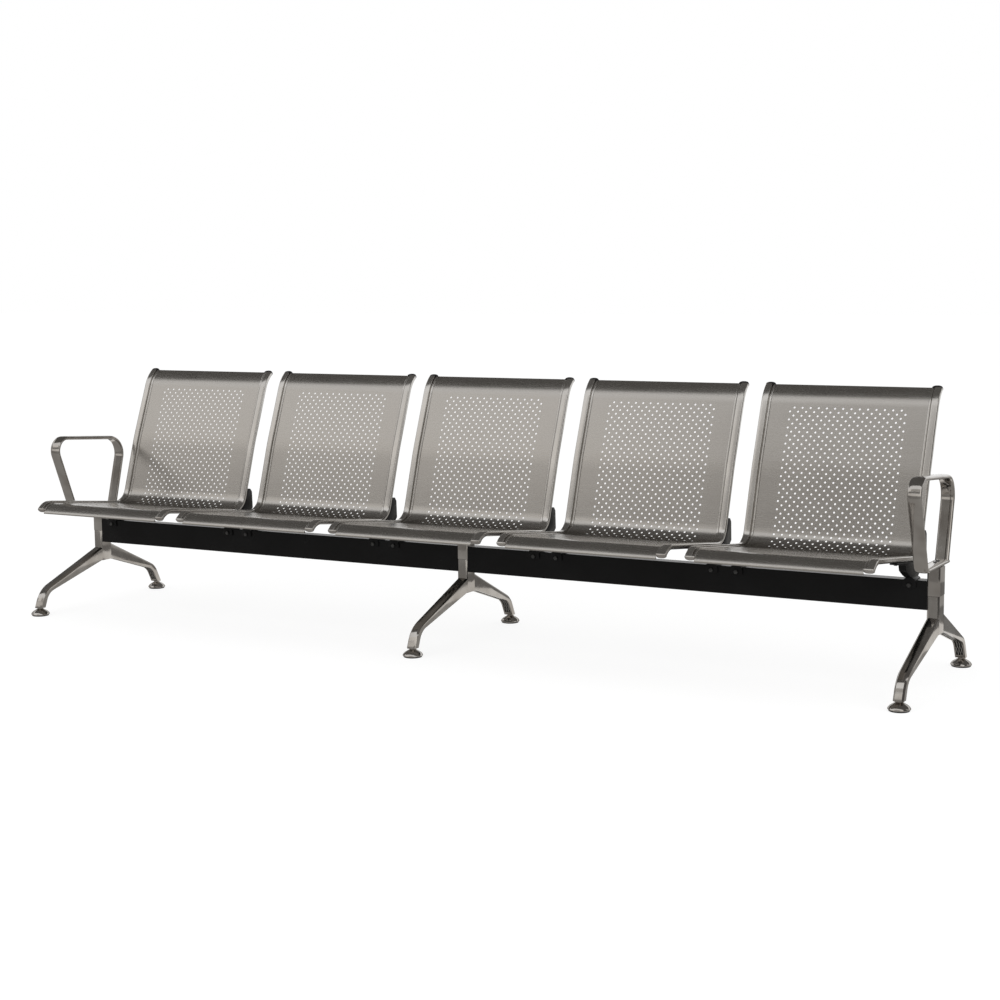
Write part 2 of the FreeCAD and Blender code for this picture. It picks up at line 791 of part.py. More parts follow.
def make_fasteners():
    """Bolts and screws, each kind a group of separate solids."""
    to_front = FreeCAD.Vector(0, -1, 0)
    to_rear = FreeCAD.Vector(0, 1, 0)
    bolt_z = (ear_bottom_z + saddle_middle_z) / 2 + bolt_rise
    bracket_bolts = [bolt(side(saddle_front_y, bolt_z, x), to_front) for _, _, x in bracket_places()]
    save("bracket_bolts", bracket_bolts)
    clamp_bolts = []
    for x in leg_x:
        clamp_bolts.append(bolt(side(column_rear_y + clamp_step, (seam_z + beam_top_z) / 2, x), to_rear))
        clamp_bolts.append(bolt(side(column_rear_y, (seam_z + beam_bottom_z) / 2, x), to_rear))
    save("clamp_bolts", clamp_bolts)
    down = left_of(pan_heading) * -1.0
    wing = bend_start + down * (tube_thick / 2 + seat_gap)
    rail_screws = []
    for _, _, x in bracket_places():
        at = wing - heading_vector(pan_heading) * (wing_length - rail_screw_from_tip) + down * wing_tip
        rail_screws.append(screw(at + ACROSS * x, down, rail_screw_length))
    save("rail_screws", rail_screws)
    top = arm_base_z + arm_thick / 2
    arm_screws = []
    for x in (leg_x[0], leg_x[-1]):
        for y in (column_front_y + arm_screw_inset, column_rear_y - arm_screw_inset):
            arm_screws.append(screw(side(y, top, x), UP, arm_screw_length))
    save("armrest_screws", arm_screws)


def make_beam_and_legs():
    """Beam, plugs, castings, clamps, strips, armrests and levelling feet."""
    save("beam_tube", beam_tube())
    save("beam_end_plugs", [beam_plug(-1), beam_plug(1)])
    arm = armrest()
    for name, end, x in zip(("left", "middle", "right"), (-1, 0, 1), leg_x):
        save("leg_casting_" + name, moved(leg_casting(end), x))
        top_z = arm_base_z - arm_thick / 2 if end else beam_top_z + middle_clamp_top
        save("column_clamp_" + name, moved(column_clamp(end, top_z), x))
        save("leg_infill_strips_" + name, [moved(infill_strip(leg), x) for leg in (front_leg, rear_leg)])
        if end:
            save("armrest_" + name, moved(arm, x))
        for place, y in zip(("front", "rear"), feet_y):
            save("levelling_foot_%s_%s" % (name, place), moved(levelling_foot(), x, y))
            save("foot_pad_%s_%s" % (name, place), moved(foot_pad(), x, y))


os.makedirs(PARTS, exist_ok=True)
make_seats()
make_fasteners()
make_beam_and_legs()
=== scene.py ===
import json
import math

import bmesh
import bpy
from mathutils import Matrix, Vector


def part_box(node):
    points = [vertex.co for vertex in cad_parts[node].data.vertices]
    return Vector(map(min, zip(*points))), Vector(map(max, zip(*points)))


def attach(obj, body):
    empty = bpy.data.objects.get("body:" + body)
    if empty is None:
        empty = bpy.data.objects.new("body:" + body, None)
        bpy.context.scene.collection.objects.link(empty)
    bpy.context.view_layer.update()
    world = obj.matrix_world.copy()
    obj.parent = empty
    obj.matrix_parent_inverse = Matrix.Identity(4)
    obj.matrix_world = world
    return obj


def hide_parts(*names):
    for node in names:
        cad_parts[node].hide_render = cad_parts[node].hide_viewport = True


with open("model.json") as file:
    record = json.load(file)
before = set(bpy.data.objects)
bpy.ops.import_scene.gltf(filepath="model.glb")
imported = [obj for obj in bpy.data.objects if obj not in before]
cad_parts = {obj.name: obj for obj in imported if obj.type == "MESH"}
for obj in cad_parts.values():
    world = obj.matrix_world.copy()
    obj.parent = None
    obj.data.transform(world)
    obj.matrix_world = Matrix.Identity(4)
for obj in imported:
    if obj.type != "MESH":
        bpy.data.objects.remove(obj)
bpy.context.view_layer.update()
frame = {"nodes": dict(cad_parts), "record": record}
nodes = frame["nodes"]

# Sizes of the seat's side view, metres and degrees, as in the part's source
PAN_RISE = 6.6
BEND_CORNER = (0.081, 0.3375)
BEND_R = 0.058
FRONT_CORNER_Y = -0.3176
WATERFALL_R = 0.054
LIP_DROP = 58.0
RAIL_FRONT = 47.0
BACK_LEAN_LOW = 17.8
BACK_LEAN_HIGH = 21.4
BACK_FLAT_LOW = 0.160
BACK_BEND_R = 0.700
CURL_START_Z = 0.738
CURL_R = 0.104
SHEET_TOP = 56.0
RAIL_TOP = 54.0

# Sheet and its perforation
SHEET_THICK = 0.0015
LIP_HEM_R = 0.00225
TOP_HEM_R = 0.00165
HEM_TURN = 300.0
HEM_STEPS = 12
SHEET_GRIP = 0.0015
HOLE_R = 0.003
HOLE_SIDES = 12
HOLE_PITCH = 0.012
HOLE_COLUMNS = 14
TOP_ROW = 0.823
LOWEST_ROW = 0.088
PLAIN_STEP = 0.006
MARGIN_STEPS = 4

# Side rails and their caps
TUBE_WIDTH = 0.021
TUBE_THICK = 0.015
TUBE_EDGE_R = 0.0055
TUBE_INNER_R = 0.002
BEAD_WIDTH = 0.0085
BEAD_THICK = 0.008
BEAD_INSET = 0.0006
GROOVE_DEPTH = 0.0034
GROOVE_INNER = 0.0002
GROOVE_OUTER = 0.0004
CAP_LIP = 0.0009
CAP_COLLAR = 0.16
CAP_POWER = 3.4
CAP_POWER_LOSS = 1.3
CAP_SIDES = 40
CAP_TIP = 0.05
TOP_CAP_LENGTH = 0.011
FRONT_CAP_LENGTH = 0.008
SWEEP_STEP = 0.03

# Armrests
ARM_WIDTH = 0.038
ARM_THICK = 0.013
ARM_BASE_Z = 0.332
ARM_BASE_REAR_Y = 0.097
ARM_BASE_FRONT_Y = -0.107
ARM_FRONT_LEAN = 21.0
ARM_REAR_LEAN = 15.2
ARM_BOTTOM_R = 0.020
ARM_TOP_FRONT_R = 0.042
ARM_TOP_REAR_R = 0.058
ARM_TOP_CORNER_Y = -0.2035
ARM_TOP_FALL = 4.2
ARM_REAR_CORNER_Y = 0.148
ARM_POWER = 2.7
ARM_SIDES = 44

# Levelling feet: radii, heights above the floor, and the dome as shares of the disc's radius and of its rise
PAD_SEAT_Z = 0.0035
PAD_OUTLINE = ((0.0262, 0.0), (0.0270, 0.0006), (0.0270, PAD_SEAT_Z))
DISC_R = 0.030
RIM_OUTLINE = ((0.0285, PAD_SEAT_Z), (0.0297, 0.0048), (DISC_R, 0.0062))
RIM_Z = 0.0076
DOME = ((0.98, 0.0), (0.93, 0.16), (0.84, 0.34), (0.72, 0.51), (0.58, 0.66), (0.46, 0.79), (0.37, 0.91))
NECK_R = 0.009
NECK_LENGTH = 0.002
STUD_R = 0.004
SEAT_GAP = 0.0003

# Rounding of the pieces that keep their CAD shape, metres and degrees
CASTING_EDGE = 0.0024
BRACKET_EDGE = 0.0012
BOLT_EDGE = 0.0006
WELD_DISTANCE = 2e-6
FLAT_BELOW = 0.6
ROUND_ABOVE = 28.0
SHARP_ABOVE = 38.0
SHEET_SHARP_ABOVE = 40.0
ARM_SHARP_ABOVE = 60.0

# Diamond pattern of the infill strips
RIB_SLANT = 0.6
RIB_FREQUENCY = 450.0

# Studio: floor, reflected cards
FLOOR_HALF = 40.0
FLOOR_GREY = 0.24
FLOOR_GLOW = 0.85
CARD_HALF = 7.0
ARCH_RADIUS = 7.0
ARCH_MIDDLE_Z = 0.4
ARCH_STEPS = 16
FLOOR_CARD_Z = 0.0002
CARD_TINT = (1.0, 0.97, 0.93)
AIM = (0.0, 0.0, 0.4)

# Camera, fitted to the photograph
CAMERA_PLACE = (2.76077, -4.69390, 1.10864)
CAMERA_YAW = 0.5094
CAMERA_PITCH = 0.1241
CAMERA_ROLL = -0.0088
CAMERA_LENS = 65.06
CAMERA_SENSOR = 36.0


def cos(deg):
    return math.cos(math.radians(deg))


def sin(deg):
    return math.sin(math.radians(deg))


def tan(deg):
    return math.tan(math.radians(deg))


def ahead(deg):
    """Unit vector in the side view: 0 points to the rear, 90 up."""
    return Vector((0.0, cos(deg), sin(deg)))


def left_of(deg):
    """Unit vector to the left of a heading: on the seat, the sitter's side."""
    return Vector((0.0, -sin(deg), cos(deg)))


class Track:
    """Straight and round stretches of a side view, each tangent to the last."""

    def __init__(self, start, heading):
        self.point = Vector(start)
        self.heading = heading
        self.stretches = []
        self.length = 0.0

    def line(self, length):
        self.stretches.append((self.length, length, self.point.copy(), self.heading, 0.0))
        self.point += ahead(self.heading) * length
        self.length += length
        return self

    def arc(self, radius, turn):
        """Turn is positive to the left."""
        length = radius * math.radians(abs(turn))
        self.stretches.append((self.length, length, self.point.copy(), self.heading, turn))
        self.point, self.heading = self.at(self.length + length)
        self.length += length
        return self

    def at(self, distance):
        """Place and heading at a distance along the track."""
        begin, length, start, heading, turn = self.stretches[0]
        for stretch in self.stretches:
            if distance >= stretch[0]:
                begin, length, start, heading, turn = stretch
        part = distance - begin
        if not turn:
            return start + ahead(heading) * part, heading
        radius = length / math.radians(turn)
        now = heading + turn * part / length
        return start + (left_of(heading) - left_of(now)) * radius, now

    def distances(self, step, step_deg=4.0):
        """Distances along the track, close together where it bends."""
        found = [0.0]
        for begin, length, _, _, turn in self.stretches:
            count = max(1, math.ceil(length / step), math.ceil(abs(turn) / step_deg))
            found += [begin + length * (k + 1) / count for k in range(count)]
        return found


# Seat side view worked out from the sizes above
PAN_HEADING = -PAN_RISE
LOW_HEADING = 90.0 - BACK_LEAN_LOW
HIGH_HEADING = 90.0 - BACK_LEAN_HIGH
BEND_TURN = LOW_HEADING - PAN_HEADING
BEND_REACH = BEND_R * tan(BEND_TURN / 2)
BEND_MIDDLE = Vector((0.0, *BEND_CORNER))
BEND_START = BEND_MIDDLE - ahead(PAN_HEADING) * BEND_REACH
BEND_END = BEND_MIDDLE + ahead(LOW_HEADING) * BEND_REACH
FRONT_CORNER = BEND_MIDDLE - ahead(PAN_HEADING) * ((BEND_CORNER[0] - FRONT_CORNER_Y) / cos(PAN_HEADING))
CREST_END = FRONT_CORNER + ahead(PAN_HEADING) * (WATERFALL_R * tan((LIP_DROP - PAN_HEADING) / 2))
CREST_CENTRE = CREST_END - left_of(PAN_HEADING) * WATERFALL_R
BACK_BEND_RISE = BACK_BEND_R * (sin(BACK_LEAN_HIGH) - sin(BACK_LEAN_LOW))
BACK_FLAT_RISE = CURL_START_Z - BEND_END.z - BACK_BEND_RISE - BACK_FLAT_LOW * sin(LOW_HEADING)
BACK_FLAT_HIGH = BACK_FLAT_RISE / sin(HIGH_HEADING)


def seat_track(front_heading, top_heading):
    """Middle line of rail or sheet from the front tip, over the pan and up the back."""
    track = Track(CREST_CENTRE + left_of(front_heading) * WATERFALL_R, front_heading)
    track.arc(WATERFALL_R, PAN_HEADING - front_heading)
    track.line((BEND_START - CREST_END).length)
    track.arc(BEND_R, BEND_TURN)
    track.line(BACK_FLAT_LOW)
    track.arc(BACK_BEND_R, HIGH_HEADING - LOW_HEADING)
    track.line(BACK_FLAT_HIGH)
    track.arc(CURL_R, top_heading - HIGH_HEADING)
    return track


def arm_track():
    """Middle line of an armrest: base bar to the front, post, top bar, post down to the base."""
    front_heading = 90.0 + ARM_FRONT_LEAN
    top_heading = -ARM_TOP_FALL
    rear_heading = -90.0 - ARM_REAR_LEAN
    base_corner = Vector((0.0, ARM_BASE_FRONT_Y, ARM_BASE_Z))
    post = ahead(front_heading)
    top_corner = base_corner + post * ((ARM_TOP_CORNER_Y - ARM_BASE_FRONT_Y) / post.y)
    bar = ahead(top_heading)
    rear_corner = top_corner + bar * ((ARM_REAR_CORNER_Y - top_corner.y) / bar.y)
    bottom_reach = ARM_BOTTOM_R * tan((180.0 - front_heading) / 2)
    front_reach = ARM_TOP_FRONT_R * tan((front_heading - top_heading) / 2)
    rear_reach = ARM_TOP_REAR_R * tan((top_heading - rear_heading) / 2)
    track = Track((0.0, ARM_BASE_REAR_Y, ARM_BASE_Z), 180.0)
    track.line(ARM_BASE_REAR_Y - ARM_BASE_FRONT_Y - bottom_reach)
    track.arc(ARM_BOTTOM_R, front_heading - 180.0)
    track.line((top_corner - base_corner).length - bottom_reach - front_reach)
    track.arc(ARM_TOP_FRONT_R, top_heading - front_heading)
    track.line((rear_corner - top_corner).length - front_reach - rear_reach)
    track.arc(ARM_TOP_REAR_R, rear_heading - top_heading)
    track.line((track.point.z - ARM_BASE_Z) / cos(ARM_REAR_LEAN))
    return track


# Meshes

def new_mesh(name, points, faces, sharp_deg=32.0):
    """A smooth-shaded mesh whose edges stay sharp above an angle."""
    mesh = bpy.data.meshes.new(name)
    mesh.from_pydata([tuple(p) for p in points], [], faces)
    mesh.validate()
    mesh.shade_smooth()
    mesh.set_sharp_from_angle(angle=math.radians(sharp_deg))
    return mesh


def place(name, mesh, slot, stands_for, body="frame", x=0.0):
    """An object of the bench: material slot, body it rides and the CAD nodes it stands for."""
    piece = bpy.data.objects.new(name, mesh)
    bpy.context.scene.collection.objects.link(piece)
    piece.location.x = x
    if not mesh.materials:
        mesh.materials.append(materials[slot])
    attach(piece, body)
    if stands_for:
        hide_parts(*stands_for)
    return piece


def loft(rings):
    """Points and faces of a closed skin through rings of equal count, with flat ends."""
    count = len(rings[0])
    points = [p for ring in rings for p in ring]
    faces = []
    for k in range(len(rings) - 1):
        for i in range(count):
            j = (i + 1) % count
            faces.append((k * count + i, k * count + j, (k + 1) * count + j, (k + 1) * count + i))
    faces.append(tuple(reversed(range(count))))
    last = (len(rings) - 1) * count
    faces.append(tuple(range(last, last + count)))
    return points, faces


def join(parts):
    """Several (points, faces) lists as one."""
    points, faces = [], []
    for more_points, more_faces in parts:
        shift = len(points)
        points += more_points
        faces += [tuple(shift + i for i in face) for face in more_faces]
    return points, faces


def moved(part, x):
    points, faces = part
    return [p + Vector((x, 0.0, 0.0)) for p in points], faces


def section(place_on_track, outline):
    """An outline in (across, to the left) set square to the track."""
    point, heading = place_on_track
    return [point + Vector((x, 0.0, 0.0)) + left_of(heading) * n for x, n in outline]


def sweep(track, outline, step):
    return loft([section(track.at(d), outline) for d in track.distances(step)])


def corner(x, n, radius, start_deg, steps):
    """Points of a quarter circle about a centre, clockwise from a start angle."""
    return [(x + radius * cos(start_deg - 90.0 * k / steps), n + radius * sin(start_deg - 90.0 * k / steps))
            for k in range(steps + 1)]


def superellipse(half_x, half_n, power, count):
    """Rounded bar outline, counter-clockwise."""
    outline = []
    for k in range(count):
        c, s = cos(360.0 * k / count), sin(360.0 * k / count)
        x = half_x * math.copysign(abs(c) ** (2 / power), c)
        n = half_n * math.copysign(abs(s) ** (2 / power), s)
        outline.append((x, n))
    return outline


def lathe(steps, centre, sides=56):
    """A turned piece from (radius, height) steps, lowest first."""
    rings = []
    for radius, z in steps:
        turns = [360.0 * k / sides for k in range(sides)]
        rings.append([centre + Vector((radius * cos(turn), radius * sin(turn), z)) for turn in turns])
    return loft(rings)


def softened(name, slot, width, segments=2, body="frame"):
    """A node's own shape with its sharp edges rounded."""
    build = bmesh.new()
    build.from_mesh(nodes[name].data)
    bmesh.ops.remove_doubles(build, verts=build.verts, dist=WELD_DISTANCE)
    bmesh.ops.dissolve_limit(build, angle_limit=math.radians(FLAT_BELOW), verts=build.verts, edges=build.edges)
    least = math.radians(ROUND_ABOVE)
    edges = [e for e in build.edges if len(e.link_faces) == 2 and e.calc_face_angle() > least]
    bmesh.ops.bevel(build, geom=edges, offset=width, offset_type="OFFSET", segments=segments, profile=0.5,
                    affect="EDGES", clamp_overlap=True)
    mesh = bpy.data.meshes.new(name + "_rounded")
    build.to_mesh(mesh)
    build.free()
    mesh.materials.clear()
    mesh.shade_smooth()
    mesh.set_sharp_from_angle(angle=math.radians(SHARP_ABOVE))
    return place(name + "_rounded", mesh, slot, [name], body)


# Seat sheet with its perforation

def hem_rows(point, heading, radius, before):
    """Places of a rolled edge behind the sheet's end, in the order of the track."""
    centre = point - left_of(heading) * radius
    turns = [HEM_TURN * (k + 1) / HEM_STEPS for k in range(HEM_STEPS)]
    if before:
        return [(centre + left_of(heading + t) * radius, heading + t) for t in reversed(turns)]
    return [(centre + left_of(heading - t) * radius, heading - t) for t in turns]


def spread(begin, end, step):
    """Distances between two ends, both left out."""
    count = max(1, math.ceil((end - begin) / step))
    return [begin + (end - begin) * (k + 1) / count for k in range(count - 1)]


def perforated_sheet(half_width):
    """One seat and back sheet: staggered round holes through a thin curved strip with rolled ends."""
    track = seat_track(LIP_DROP, 90.0 - SHEET_TOP)
    row_count = math.floor((TOP_ROW - LOWEST_ROW) / HOLE_PITCH) + 1
    first_row = TOP_ROW - (row_count - 1) * HOLE_PITCH
    cell_from = first_row - HOLE_PITCH / 2
    cell_to = TOP_ROW + HOLE_PITCH / 2
    low = [0.0] + spread(0.0, cell_from, PLAIN_STEP)
    cells = [cell_from + HOLE_PITCH * k for k in range(row_count + 1)]
    high = spread(cell_to, track.length, PLAIN_STEP) + [track.length]
    start, end = track.at(0.0), track.at(track.length)
    rows = hem_rows(*start, LIP_HEM_R, True)
    rows += [track.at(d) for d in low]
    first_cell = len(rows)
    rows += [track.at(d) for d in cells + high]
    rows += hem_rows(*end, TOP_HEM_R, False)

    pattern_half = (HOLE_COLUMNS + 0.5) * HOLE_PITCH
    margin = half_width - pattern_half
    left_margin = [-half_width + margin * k / MARGIN_STEPS for k in range(MARGIN_STEPS)]
    lines = [-pattern_half + HOLE_PITCH * k for k in range(2 * HOLE_COLUMNS + 2)]
    columns = left_margin + lines + [-x for x in reversed(left_margin)]

    points, faces = [], []
    sides = (SHEET_THICK / 2, -SHEET_THICK / 2)
    for offset in sides:
        for point, heading in rows:
            points += [point + left_of(heading) * offset + Vector((x, 0.0, 0.0)) for x in columns]
    back = len(points) // 2
    across = len(columns)

    def face_pair(ring, other):
        """The same face on the sitter's side and, turned over, on the rear side."""
        faces.append(tuple(ring))
        faces.append(tuple(reversed(other)))

    def hole(column, row, corners):
        """A round hole in a cell, its wall, and the sheet between hole and cell corners."""
        x = lines[column] + HOLE_PITCH / 2
        middle = cells[row] + HOLE_PITCH / 2
        rings = []
        for offset in sides:
            rings.append(list(range(len(points), len(points) + HOLE_SIDES)))
            for k in range(HOLE_SIDES):
                turn = 360.0 * (k + 0.5) / HOLE_SIDES
                point, heading = track.at(middle + HOLE_R * sin(turn))
                points.append(point + left_of(heading) * offset + Vector((x + HOLE_R * cos(turn), 0.0, 0.0)))
        front, rear = rings
        quarter = HOLE_SIDES // 4
        for q in range(4):
            near, following = corners[q], corners[(q + 1) % 4]
            for k in range(q * quarter, (q + 1) * quarter - 1):
                face_pair((near, front[k + 1], front[k]), (near + back, rear[k + 1], rear[k]))
            k = (q + 1) * quarter - 1
            step = (k + 1) % HOLE_SIDES
            face_pair((near, following, front[step], front[k]),
                      (near + back, following + back, rear[step], rear[k]))
        for k in range(HOLE_SIDES):
            step = (k + 1) % HOLE_SIDES
            faces.append((front[k], front[step], rear[step], rear[k]))

    for r in range(len(rows) - 1):
        cell_row = r - first_cell
        for c in range(across - 1):
            a = r * across + c
            ring = (a, a + 1, a + 1 + across, a + across)
            column = c - MARGIN_STEPS
            inside = 0 <= cell_row < row_count and 0 <= column <= 2 * HOLE_COLUMNS
            if inside and (row_count - 1 - cell_row + column) % 2 == 1:
                hole(column, cell_row, (ring[2], ring[3], ring[0], ring[1]))
            else:
                face_pair(ring, tuple(i + back for i in ring))
        a, b = r * across, r * across + across - 1
        faces.append((a, a + across, a + across + back, a + back))
        faces.append((b, b + back, b + across + back, b + across))
    for r, flip in ((0, False), (len(rows) - 1, True)):
        for c in range(across - 1):
            a = r * across + c
            ring = (a, a + back, a + 1 + back, a + 1)
            faces.append(tuple(reversed(ring)) if flip else ring)
    return new_mesh("perforated_sheet", points, faces, SHEET_SHARP_ABOVE)


def seat_middle(number):
    low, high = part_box("seat_shell_%d" % number)
    return (low.x + high.x) / 2


def make_sheets():
    low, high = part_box("seat_shell_1")
    mesh = perforated_sheet((high.x - low.x) / 2 - BEAD_WIDTH + SHEET_GRIP)
    for number in SEATS:
        place("seat_sheet_%d" % number, mesh, "shell_steel", ["seat_shell_%d" % number], x=seat_middle(number))


# Rails and caps

def rail_outline(hand, bead_in, rail_out):
    """Round-edged tube, groove, and the round bead that grips the sheet, clockwise from the bead."""
    half = TUBE_THICK / 2
    tube_in = rail_out - TUBE_WIDTH
    bead_half = (tube_in - bead_in) / 2
    bead_mid = bead_in + bead_half
    upper = []
    for k in range(1, 12):
        turn = 180.0 - 15.0 * k
        x = bead_mid + (bead_half - BEAD_INSET) * cos(turn) - BEAD_INSET
        upper.append((x, BEAD_THICK / 2 * sin(turn) ** 0.8))
    upper.append((tube_in - GROOVE_INNER, BEAD_THICK / 2 - GROOVE_DEPTH))
    upper.append((tube_in + GROOVE_OUTER, BEAD_THICK / 2 - GROOVE_DEPTH))
    upper += corner(tube_in + TUBE_INNER_R + GROOVE_OUTER, half - TUBE_INNER_R, TUBE_INNER_R, 180.0, 4)
    upper += corner(rail_out - TUBE_EDGE_R, half - TUBE_EDGE_R, TUBE_EDGE_R, 90.0, 8)
    outline = [(bead_in, 0.0)] + upper + [(x, -n) for x, n in reversed(upper)]
    return [(x, n) for x, n in reversed(outline)] if hand > 0 else [(-x, n) for x, n in outline]


def cap_outline(hand, bead_in, rail_out, scale, power):
    """Rounded outline that covers the rail's end and stands out round it, drawn in by a scale."""
    half_x = (rail_out - bead_in) / 2
    middle = bead_in + half_x
    shape = superellipse((half_x + CAP_LIP / 2) * scale, (TUBE_THICK / 2 + CAP_LIP) * scale, power, CAP_SIDES)
    return [(hand * middle + x, n) for x, n in shape]


def dome(hand, bead_in, rail_out, point, heading, length):
    """A domed cap: short collar, then a crown that gets rounder towards its tip."""
    stops = [(0.0, 0.97), (0.06, 1.0), (CAP_COLLAR, 1.0)]
    for k in range(1, 9):
        stops.append((CAP_COLLAR + (1.0 - CAP_COLLAR) * sin(11.2 * k), cos(11.2 * k) ** 0.9))
    rings = []
    for share, scale in stops:
        base = (point + ahead(heading) * (length * share), heading)
        power = CAP_POWER - CAP_POWER_LOSS * share
        rings.append(section(base, cap_outline(hand, bead_in, rail_out, max(scale, CAP_TIP), power)))
    return loft(rings)


def make_rails():
    track = seat_track(RAIL_FRONT, 90.0 - RAIL_TOP)
    middle = seat_middle(1)
    low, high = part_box("side_rail_right_1")
    bead_in, rail_out = low.x - middle - BEAD_WIDTH, high.x - middle
    meshes = {}
    rail = rail_metal()
    for hand, sign in (("left", -1), ("right", 1)):
        outline = rail_outline(sign, bead_in, rail_out)
        meshes[hand] = new_mesh("rail_" + hand, *sweep(track, outline, SWEEP_STEP))
        meshes[hand].materials.append(rail)
    front_point, front_heading = track.at(0.0)
    top_point, top_heading = track.at(track.length)
    top_caps, front_caps = [], []
    for number in SEATS:
        x = seat_middle(number)
        for hand, sign in (("left", -1), ("right", 1)):
            name = "side_rail_%s_%d" % (hand, number)
            place(name + "_drawn", meshes[hand], "polished_metal", [name], x=x)
            ends = (sign, bead_in, rail_out)
            top_caps.append(moved(dome(*ends, top_point, top_heading, TOP_CAP_LENGTH), x))
            front = dome(*ends, front_point, front_heading + 180.0, FRONT_CAP_LENGTH)
            front_caps.append(moved(front, x))
    place("top_caps", new_mesh("top_caps", *join(top_caps)), "black_plastic", ["rail_top_caps"])
    place("front_caps", new_mesh("front_caps", *join(front_caps)), "polished_metal", ["rail_front_caps"])


# Armrests, levelling feet and fasteners

def make_armrests():
    outline = superellipse(ARM_WIDTH / 2, ARM_THICK / 2, ARM_POWER, ARM_SIDES)
    mesh = new_mesh("arm_loop", *sweep(arm_track(), outline, SWEEP_STEP), ARM_SHARP_ABOVE)
    for hand in ("left", "right"):
        low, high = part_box("armrest_" + hand)
        place("arm_loop_" + hand, mesh, "polished_metal", ["armrest_" + hand], x=(low.x + high.x) / 2)


def disc_outline(top_z):
    """Radius and height of a levelling foot: rounded rim, and a dome that rises nearly to the leg."""
    rise = top_z - NECK_LENGTH - RIM_Z
    dome_steps = [(DISC_R * share, RIM_Z + rise * height) for share, height in DOME]
    return [*RIM_OUTLINE, *dome_steps, (NECK_R, top_z - NECK_LENGTH), (NECK_R, top_z)]


def make_levelling_feet():
    for side_name in LEGS:
        for end in ("front", "rear"):
            low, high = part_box("levelling_foot_%s_%s" % (side_name, end))
            centre = Vector(((low.x + high.x) / 2, (low.y + high.y) / 2, 0.0))
            body = "leveller_%s_%s" % (side_name, end)
            neck_top = FOOT_BOTTOM_Z - SEAT_GAP
            shape = disc_outline(neck_top) + [(STUD_R, neck_top), (STUD_R, high.z)]
            place("foot_disc_%s_%s" % (side_name, end), new_mesh("foot_disc", *lathe(shape, centre)),
                  "polished_metal", ["levelling_foot_%s_%s" % (side_name, end)], body)
            place("rubber_pad_%s_%s" % (side_name, end), new_mesh("rubber_pad", *lathe(PAD_OUTLINE, centre)),
                  "pad_rubber", ["foot_pad_%s_%s" % (side_name, end)], body)


# Materials: every surface has its own grain, tone and gloss from nodes

class Surface:
    """A principled material and short ways to add textures to it."""

    def __init__(self, name, colour, metallic, roughness):
        self.material = bpy.data.materials.new(name)
        self.material.use_nodes = True
        self.tree = self.material.node_tree
        self.shader = self.tree.nodes["Principled BSDF"]
        self.shader.inputs["Base Color"].default_value = (*colour, 1.0)
        self.shader.inputs["Metallic"].default_value = metallic
        self.shader.inputs["Roughness"].default_value = roughness
        self.coordinates = self.tree.nodes.new("ShaderNodeTexCoord").outputs["Object"]

    def link(self, source, target):
        self.tree.links.new(source, target)

    def noise(self, scale, detail=4.0, stretch=(1.0, 1.0, 1.0), distortion=0.0):
        """A noise value over the object, stretched along the axes."""
        mapping = self.tree.nodes.new("ShaderNodeMapping")
        mapping.inputs["Scale"].default_value = stretch
        self.link(self.coordinates, mapping.inputs["Vector"])
        texture = self.tree.nodes.new("ShaderNodeTexNoise")
        texture.inputs["Scale"].default_value = scale
        texture.inputs["Detail"].default_value = detail
        texture.inputs["Distortion"].default_value = distortion
        self.link(mapping.outputs["Vector"], texture.inputs["Vector"])
        return texture.outputs["Fac"]

    def between(self, value, low, high, value_from=0.3, value_to=0.7):
        """Maps a value to a range."""
        change = self.tree.nodes.new("ShaderNodeMapRange")
        change.inputs["From Min"].default_value = value_from
        change.inputs["From Max"].default_value = value_to
        change.inputs["To Min"].default_value = low
        change.inputs["To Max"].default_value = high
        self.link(value, change.inputs["Value"])
        return change.outputs["Result"]

    def math(self, operation, a, b):
        node = self.tree.nodes.new("ShaderNodeMath")
        node.operation = operation
        for socket, value in zip(node.inputs, (a, b)):
            if isinstance(value, (int, float)):
                socket.default_value = value
            else:
                self.link(value, socket)
        return node.outputs["Value"]

    def blend(self, value, dark, light, value_from=0.3, value_to=0.7):
        """Colours the surface between two tones by a value."""
        ramp = self.tree.nodes.new("ShaderNodeValToRGB")
        ramp.color_ramp.elements[0].position = value_from
        ramp.color_ramp.elements[1].position = value_to
        ramp.color_ramp.elements[0].color = (*dark, 1.0)
        ramp.color_ramp.elements[1].color = (*light, 1.0)
        self.link(value, ramp.inputs["Fac"])
        self.link(ramp.outputs["Color"], self.shader.inputs["Base Color"])

    def rough(self, value, low, high):
        self.link(self.between(value, low, high), self.shader.inputs["Roughness"])

    def bump(self, height, distance, strength=1.0):
        """Adds a bump on top of the ones already there."""
        node = self.tree.nodes.new("ShaderNodeBump")
        node.inputs["Strength"].default_value = strength
        node.inputs["Distance"].default_value = distance
        self.link(height, node.inputs["Height"])
        normal = self.shader.inputs["Normal"]
        if normal.is_linked:
            self.link(normal.links[0].from_socket, node.inputs["Normal"])
        self.link(node.outputs["Normal"], normal)


def brushed_sheet():
    """Satin stainless sheet: fine brushing along the seat's width and faint cloudy handling marks."""
    surface = Surface("shell_steel", (0.5, 0.48, 0.45), 1.0, 0.27)
    grain = surface.noise(1.0, 6.0, (9.0, 900.0, 900.0))
    clouds = surface.noise(5.0, 3.0, (1.0, 1.6, 1.6))
    mixed = surface.math("ADD", surface.math("MULTIPLY", grain, 0.6), surface.math("MULTIPLY", clouds, 0.4))
    surface.blend(mixed, (0.425, 0.405, 0.38), (0.485, 0.465, 0.44))
    surface.rough(mixed, 0.20, 0.30)
    surface.bump(grain, 0.000005)
    surface.bump(clouds, 0.0004, 0.12)
    return surface.material


